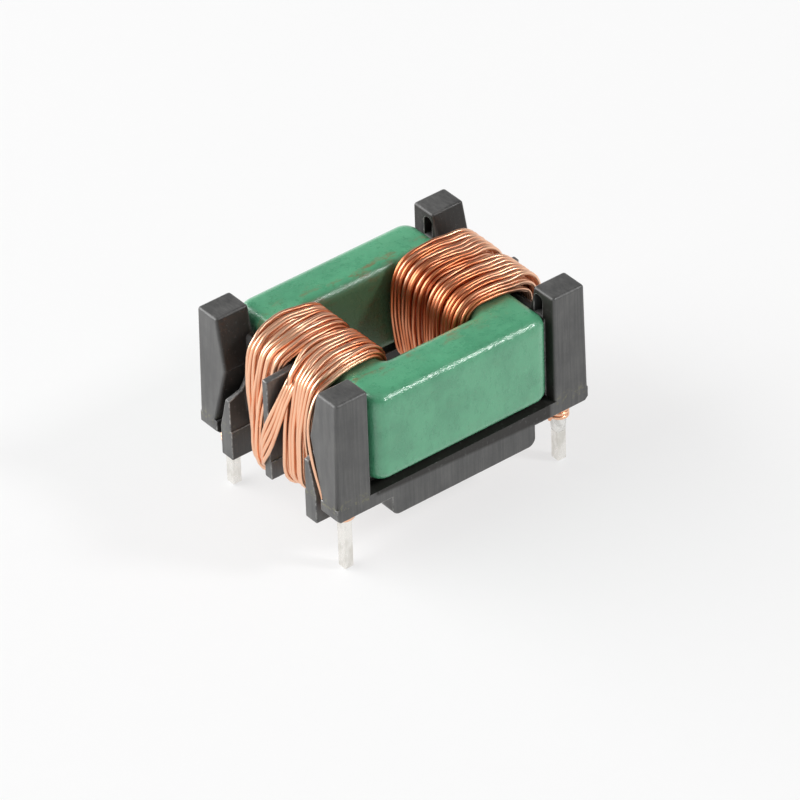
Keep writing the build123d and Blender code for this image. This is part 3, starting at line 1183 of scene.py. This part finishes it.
    def slot_share(self, stage: float) -> float:
        """Work out how far a turn has gathered into the slot at a stage.

        Args:
            stage: The stage.

        Returns:
            The share, from 0 to 1, easing in and out.
        """
        if stage <= Stage.WALL_TOP or stage >= Stage.WINDOW_FOOT:
            return 0.0
        raw = stage - Stage.WALL_TOP if stage <= Stage.WALL_FOOT else Stage.WINDOW_FOOT - stage
        return raw * raw * (3 - 2 * raw)

    def crossing(self, side: int, rank: int) -> list[Point]:
        """Return the way of a turn that crosses the tooth's outer edge into the other slot.

        Args:
            side: The sign of y of the section that it comes from.
            rank: Its place in the layer.

        Returns:
            The points, from below the wall's top to under its foot.
        """
        return [(way.x, side * (way.y + way.across * rank), way.z - way.down * rank)
                for way in self.crossing_way]

    def wrap(self, y_sign: int, turns: float, start_degrees: float) -> list[Point]:
        """Return the control points of the wire's turns around a pin.

        Args:
            y_sign: Which of the winding's two pins.
            turns: How many turns.
            start_degrees: Where on the pin they start.

        Returns:
            The points, from the top turn down.
        """
        points = []
        for step in range(int(turns * self.wrap_steps) + 1):
            turned = step / self.wrap_steps
            angle = math.radians(start_degrees) - y_sign * 2 * math.pi * turned
            points.append((self.pin_x + self.wrap_radius * math.cos(angle),
                           y_sign * self.pin_y + self.wrap_radius * math.sin(angle),
                           self.wrap_top - self.wire * self.wrap_pitch_share * turned))
        return points

    def outer_lead(self) -> list[Point]:
        """Return the lead that drops beside the post to the pin, with its turns there."""
        return [*self.outer_way, *self.wrap(y_sign=1, turns=2.0, start_degrees=-90.0)]

    def inner_lead(self) -> list[Point]:
        """Return the lead that runs under the end wall to the other pin, with its turns there."""
        return [*self.inner_way, *self.wrap(y_sign=-1, turns=4.0, start_degrees=180.0)]


@dataclass(frozen=True)
class SolderRun:
    """How high on its pin a solder joint starts and how far it runs down."""

    top: float
    length: float


@dataclass
class Pins:
    """The four square pins, each with the solder that has run down it from the wire's last turn.

    The solder's rows give how far down a row lies and how thick the solder is there, in shares.
    """

    pitch_x: float = 15.0
    pitch_y: float = 10.0
    width: float = 0.6
    tip: float = -2.75
    root: float = 4.7
    point: float = 0.12
    point_segments: int = 2
    edge_round: float = 0.05
    edge_segments: int = 3
    upright: float = 1.0
    short_run: SolderRun = SolderRun(top=0.86, length=0.28)
    long_run: SolderRun = SolderRun(top=0.38, length=1.15)
    solder_wall: float = 0.07
    solder_wave: float = 0.25
    wave_count: int = 3
    wave_twist: float = 9.0
    ring_points: int = 24
    squareness: int = 8
    row_shares: tuple[Range, ...] = (
        (0.0, -0.02), (0.02, 0.8), (0.12, 1.0), (0.3, 0.85), (0.55, 0.7), (0.8, 0.5), (0.95, 0.3),
        (1.0, -0.02),
    )

    def build(self, plate: bpy.types.Material, solder: bpy.types.Material) -> None:
        """Make the pins and their solder and put each in the place of its node.

        Args:
            plate: The pins' finish.
            solder: The solder's finish.
        """
        for corner in Corner:
            name = corner.name.lower()
            sx, sy = corner.value
            foot = (sx * self.pitch_x / 2, sy * self.pitch_y / 2)
            piece = link_piece(self.bar(f"pin_bar_{name}", foot), f"pin_bar_{name}")
            piece.data.materials.append(plate)
            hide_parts(f"pin_{name}")
            run = self.short_run if sx == sy else self.long_run
            sleeve = self.sleeve(f"solder_sleeve_{name}", foot, run)
            skin = link_piece(sleeve, f"solder_sleeve_{name}")
            skin.data.materials.append(solder)
            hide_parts(f"solder_{name}")

    def bar(self, name: str, foot: tuple[float, float]) -> bpy.types.Mesh:
        """Return a pin's mesh.

        Args:
            name: The mesh's name.
            foot: The pin's x and y.

        Returns:
            The mesh.
        """
        bm = bmesh.new()
        bmesh.ops.create_cube(bm, size=1.0)
        bmesh.ops.scale(bm, vec=(self.width, self.width, self.root - self.tip), verts=bm.verts)
        ends = [edge for edge in bm.edges if edge.verts[0].co.z < 0 and edge.verts[1].co.z < 0]
        bmesh.ops.bevel(bm, geom=ends, offset=self.point, offset_type="OFFSET", affect="EDGES",
                        segments=self.point_segments, profile=0.5, material=-1)
        sides = [edge for edge in bm.edges if abs(edge.verts[0].co.z - edge.verts[1].co.z) > self.upright]
        bmesh.ops.bevel(bm, geom=sides, offset=self.edge_round, offset_type="OFFSET", affect="EDGES",
                        segments=self.edge_segments, profile=0.5, material=-1)
        bmesh.ops.translate(bm, verts=bm.verts, vec=(*foot, (self.root + self.tip) / 2))
        return mesh_from(bm, name, smooth=False)

    def sleeve(self, name: str, foot: tuple[float, float], run: SolderRun) -> bpy.types.Mesh:
        """Return the mesh of a pin's solder: a rounded square sleeve that thins downwards.

        Args:
            name: The mesh's name.
            foot: The pin's x and y.
            run: Where the solder starts and how far it runs.

        Returns:
            The mesh.
        """
        bm = bmesh.new()
        rings = [self.ring(bm, foot, run, drop, wall) for drop, wall in self.row_shares]
        for upper, lower in zip(rings, rings[1:]):
            bmesh.ops.bridge_loops(bm, edges=upper + lower)
        bmesh.ops.edgeloop_fill(bm, edges=rings[0] + rings[-1])
        return mesh_from(bm, name)

    def ring(self, bm: bmesh.types.BMesh, foot: tuple[float, float], run: SolderRun, drop: float,
             wall: float) -> list[bmesh.types.BMEdge]:
        """Add one row of a solder joint: a square with round corners and a slight wave.

        Args:
            bm: Where it is added.
            foot: The pin's x and y.
            run: Where the solder starts and how far it runs.
            drop: How far down the row lies, as a share of the run.
            wall: How thick the solder is there, as a share of its wall.

        Returns:
            Its edges.
        """
        verts = []
        for number in range(self.ring_points):
            angle = 2 * math.pi * (number + 0.5) / self.ring_points
            wave = 1 + self.solder_wave * math.sin(self.wave_count * angle + self.wave_twist * drop)
            reach = self.width / 2 + self.solder_wall * wall * (wave if wall > 0 else 1)
            reach /= (abs(math.cos(angle)) ** self.squareness
                      + abs(math.sin(angle)) ** self.squareness) ** (1 / self.squareness)
            verts.append(bm.verts.new((foot[0] + reach * math.cos(angle), foot[1] + reach * math.sin(angle),
                                       run.top - run.length * drop)))
        return [bm.edges.new((verts[number - 1], vert)) for number, vert in enumerate(verts)]


@dataclass(frozen=True)
class Softbox:
    """A soft lamp: the direction to it, that of its long side, its sides in millimetres and its watts."""

    name: str
    toward: Point
    along: Point
    size: Range
    power: float


@dataclass
class Studio:
    """The floor, the soft light and the camera at the photograph's angle.

    The camera's angles are in degrees. The surround's heights are those of a direction of length 1.
    """

    floor: float = -2.76
    floor_half: float = 900.0
    floor_segments: int = 4
    target: Point = (0.1445, -0.3117, 2.1343)
    azimuth: float = -127.2843
    elevation: float = 36.6511
    roll: float = -2.0108
    distance: float = 410.2
    sensor: float = 36.0
    lens: float = 335.73
    clip: Range = (10.0, 10000.0)
    lamp_distance: float = 700.0
    surround_heights: Range = (0.18, 0.52)
    surround_light: Range = (0.94, 0.12)
    softboxes: tuple[Softbox, ...] = (
        Softbox("softbox_left", (-0.597, 0.638, 0.486), (0.454, 0.766, -0.454), (1150.0, 430.0), 9.2),
        Softbox("softbox_right", (0.486, -0.597, 0.638), (0.0, 0.730, 0.683), (125.0, 125.0), 1.9),
        Softbox("softbox_top", (0.0, 0.0, 1.0), (1.0, 0.0, 0.0), (560.0, 560.0), 0.35),
    )

    def build(self, card: bpy.types.Material) -> None:
        """Make the floor, the lamps, the world and the camera.

        Args:
            card: The floor's finish.
        """
        bm = bmesh.new()
        bmesh.ops.create_grid(bm, x_segments=self.floor_segments, y_segments=self.floor_segments,
                              size=self.floor_half)
        bmesh.ops.translate(bm, vec=(0, 0, self.floor), verts=bm.verts)
        mesh = mesh_from(bm, "floor", smooth=False)
        mesh.materials.append(card)
        floor = bpy.data.objects.new("floor", mesh)
        bpy.context.scene.collection.objects.link(floor)
        for softbox in self.softboxes:
            self.lamp(softbox)
        self.world()
        self.camera()
        bpy.context.scene.view_settings.view_transform = "Standard"

    def lamp(self, softbox: Softbox) -> None:
        """Add a soft lamp that faces the object.

        Args:
            softbox: What lamp it is.
        """
        data = bpy.data.lights.new(softbox.name, "AREA")
        data.shape = "RECTANGLE"
        data.size, data.size_y = (side * MM for side in softbox.size)
        data.energy = softbox.power
        lamp = bpy.data.objects.new(softbox.name, data)
        back = Vector(softbox.toward).normalized()
        side = Vector(softbox.along)
        side = (side - back * side.dot(back)).normalized()
        turn = Matrix((side, back.cross(side), back)).transposed().to_4x4()
        lamp.matrix_world = Matrix.Translation(back * self.lamp_distance * MM) @ turn
        bpy.context.scene.collection.objects.link(lamp)

    def world(self) -> None:
        """Set the surround: as pale as the floor along the horizon and dim above it."""
        world = bpy.data.worlds.new("surround")
        world.use_nodes = True
        tree = world.node_tree
        place = tree.nodes.new("ShaderNodeTexCoord")
        split = tree.nodes.new("ShaderNodeSeparateXYZ")
        fade = tree.nodes.new("ShaderNodeMapRange")
        background = tree.nodes["Background"]
        numbers = (*self.surround_heights, *self.surround_light)
        for key, number in zip(("From Min", "From Max", "To Min", "To Max"), numbers):
            fade.inputs[key].default_value = number
        tree.links.new(place.outputs["Generated"], split.inputs[0])
        tree.links.new(split.outputs["Z"], fade.inputs["Value"])
        tree.links.new(fade.outputs["Result"], background.inputs["Strength"])
        background.inputs["Color"].default_value = WHITE
        bpy.context.scene.world = world

    def camera(self) -> None:
        """Place the camera, turned from its look straight down by its roll, elevation and azimuth."""
        data = bpy.data.cameras.new("camera")
        data.sensor_width = self.sensor
        data.lens = self.lens
        data.clip_start, data.clip_end = (reach * MM for reach in self.clip)
        camera = bpy.data.objects.new("camera", data)
        turn = (Matrix.Rotation(math.radians(self.azimuth + 90.0), 4, "Z")
                @ Matrix.Rotation(math.radians(90.0 - self.elevation), 4, "X")
                @ Matrix.Rotation(math.radians(self.roll), 4, "Z"))
        back = Matrix.Translation((0.0, 0.0, self.distance * MM))
        camera.matrix_world = Matrix.Translation(Vector(self.target) * MM) @ turn @ back
        bpy.context.scene.collection.objects.link(camera)
        bpy.context.scene.camera = camera


def main() -> None:
    """Build every piece in order."""
    logging.basicConfig(level=logging.INFO, format="%(name)s: %(message)s")
    enamel = CopperEnamel().make()
    Studio().build(PaleCard().make())
    Winding(
        side=Side.LEFT,
        seed=11,
        layers=(
            Layer(turns=12, inset=0.0, sway=0.02),
            Layer(turns=12, inset=0.03, sway=0.05),
            Layer(turns=8, inset=0.22, sway=0.18),
        ),
        layer_rise=0.205,
        spreads=SNUG,
        sections=(
            Section(side=1, slot_from=1.14, slot_to=2.86, crossing=4),
            Section(side=-1, slot_from=0.66, slot_to=1.86, crossing=0),
        ),
        inner_share=0.45,
    ).build(enamel)
    Winding(
        side=Side.RIGHT,
        seed=23,
        layers=(
            Layer(turns=12, inset=0.0, sway=0.02),
            Layer(turns=12, inset=0.03, sway=0.03),
            Layer(turns=8, inset=0.20, sway=0.12),
        ),
        layer_rise=0.255,
        spreads=LOOSE,
        sections=(
            Section(side=1, slot_from=1.10, slot_to=2.86, crossing=4),
            Section(side=-1, slot_from=0.62, slot_to=2.32, crossing=0),
        ),
        inner_share=1.0,
    ).build(enamel)
    Core().build(CoreCoating().make())
    Base().build(MouldedPlastic().make(), WornAndSheenPlastic().make())
    Pins().build(TinPlate().make(), SolderSkin().make())


if __name__ == "__main__":
    main()
